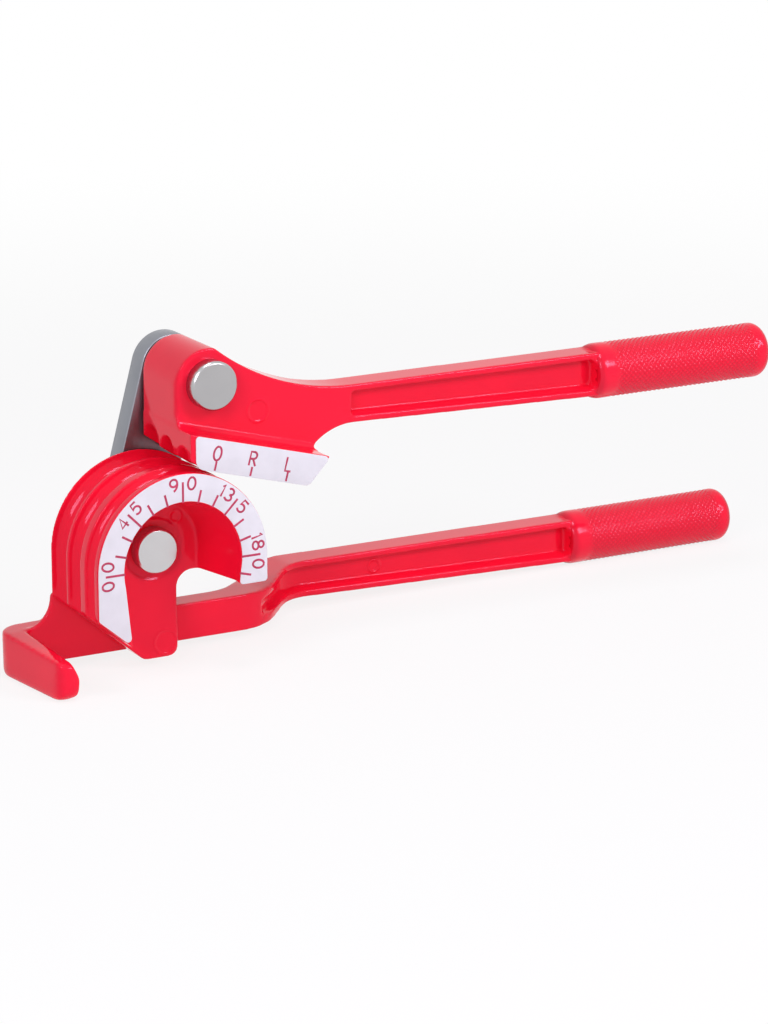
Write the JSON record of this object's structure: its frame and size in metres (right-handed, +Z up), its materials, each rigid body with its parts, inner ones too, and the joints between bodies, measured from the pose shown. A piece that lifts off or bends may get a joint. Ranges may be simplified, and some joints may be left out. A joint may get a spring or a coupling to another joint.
{
  "type": "tube bender",
  "caption": "Hand tube bender: a grooved half-round die with a dial on a fixed hooked handle, and a link that carries a levered grooved shoe round it.",
  "frame": {"origin": "centre of the part's box on the plane that it rests on", "axes": "+X along the handles towards the grips, +Y from the dial to the link, +Z up"},
  "size_m": [0.2722, 0.0654, 0.0997],
  "materials": {
    "red_enamel": "glossy red enamel on die-cast aluminium",
    "knurled_enamel": "glossy red enamel on a diamond knurl",
    "link_steel": "plain ground steel",
    "nickel_plate": "satin nickel plate",
    "dark_steel": "black oxide",
    "zinc_steel": "zinc plate",
    "bronze": "sintered bronze",
    "scale_plate": "white plate with printed dark red marks"
  },
  "bodies": {
    "lower": {"lower_handle": "red_enamel", "forming_die": "red_enamel", "die_screws": "dark_steel", "die_dowels": "zinc_steel", "die_scale": "scale_plate", "lower_grip": "knurled_enamel", "die_pivot_pin": "nickel_plate", "die_thrust_washer": "bronze", "die_rear_washer": "zinc_steel", "die_retaining_ring": "dark_steel"},
    "link": {"link_plate": "link_steel", "die_bush": "bronze", "shoe_bush": "bronze"},
    "upper": {"upper_handle": "red_enamel", "shoe_scale": "scale_plate", "upper_grip": "knurled_enamel", "shoe_pivot_pin": "nickel_plate", "shoe_thrust_washer": "bronze", "shoe_rear_washer": "zinc_steel", "shoe_retaining_ring": "dark_steel"}
  },
  "joints": [
    {"name": "link_swing", "type": "hinge", "parent": "lower", "child": "link", "pos_m": [-0.09276, 0.0049, 0.0375], "axis": [0, 1, 0], "range_deg": [-105, 80]},
    {"name": "handle_pivot", "type": "hinge", "parent": "link", "child": "upper", "pos_m": [-0.07894, 0.0049, 0.08908], "axis": [0, -1, 0], "range_deg": [0, 110]}
  ]
}
